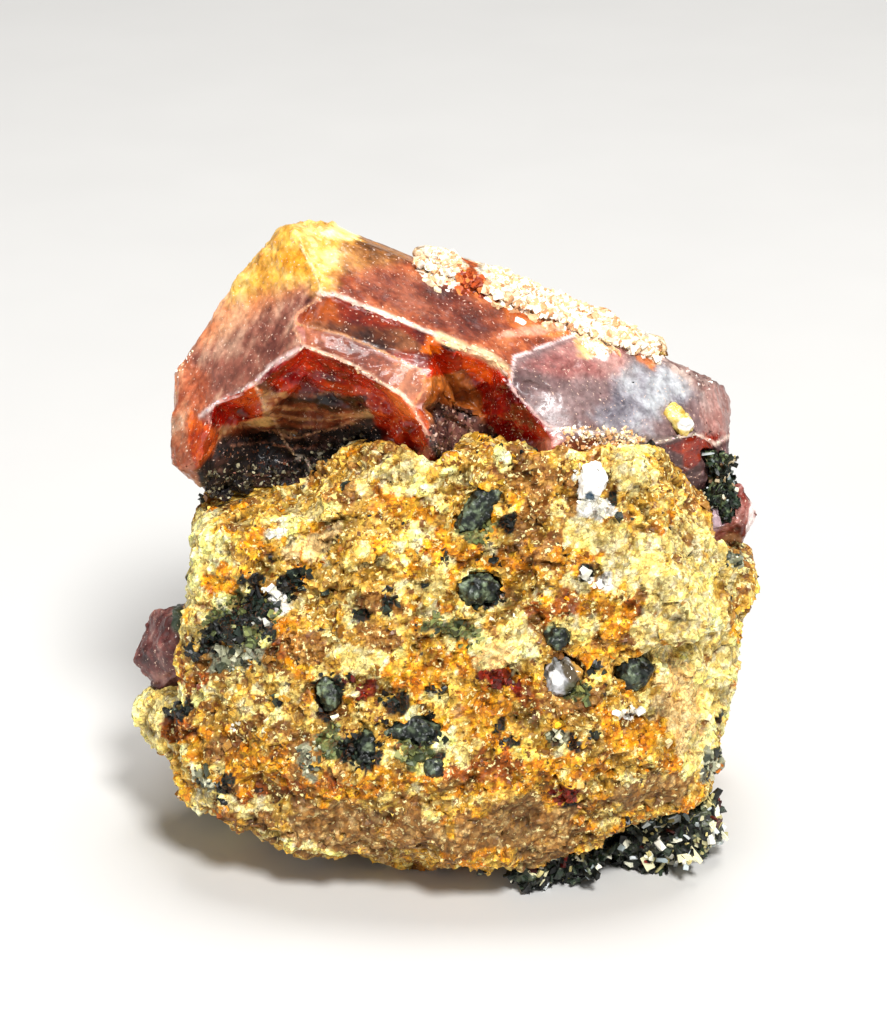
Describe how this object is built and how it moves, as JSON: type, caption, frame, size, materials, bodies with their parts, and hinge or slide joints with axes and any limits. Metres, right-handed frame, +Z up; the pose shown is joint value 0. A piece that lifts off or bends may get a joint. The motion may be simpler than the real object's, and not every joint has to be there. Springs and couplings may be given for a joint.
{
  "type": "zircon crystal on matrix",
  "caption": "Red-brown zircon crystal with glassy broken hollows, lying across the top of a granular cream and ochre feldspar rock with dark mineral grains; a display specimen.",
  "frame": {"origin": "on the floor under the middle of the outer box", "axes": "+X to the right as seen from the display side, +Y into the specimen away from that side, +Z up"},
  "size_m": [0.0452, 0.0336, 0.0448],
  "materials": {
    "zircon": "glassy, translucent",
    "feldspar_rock": "granular, broken",
    "feldspar_cream": "cleaved",
    "amphibole": "cleaved, bright",
    "quartz": "broken, glassy",
    "mica": "pearly"
  },
  "bodies": {
    "root": {"amphibole_cluster": "amphibole", "amphibole_grain_1": "amphibole", "amphibole_grain_2": "amphibole", "amphibole_grain_3": "amphibole", "amphibole_grain_4": "amphibole", "amphibole_grain_5": "amphibole", "amphibole_grain_6": "amphibole", "amphibole_grain_7": "amphibole", "amphibole_grain_8": "amphibole", "amphibole_right": "amphibole", "feldspar_chip": "feldspar_cream", "matrix": "feldspar_rock", "mica_flake": "mica", "quartz_grain": "quartz", "zircon_crystal": "zircon", "zircon_left_small": "zircon", "zircon_right_small": "zircon"}
  },
  "joints": []
}
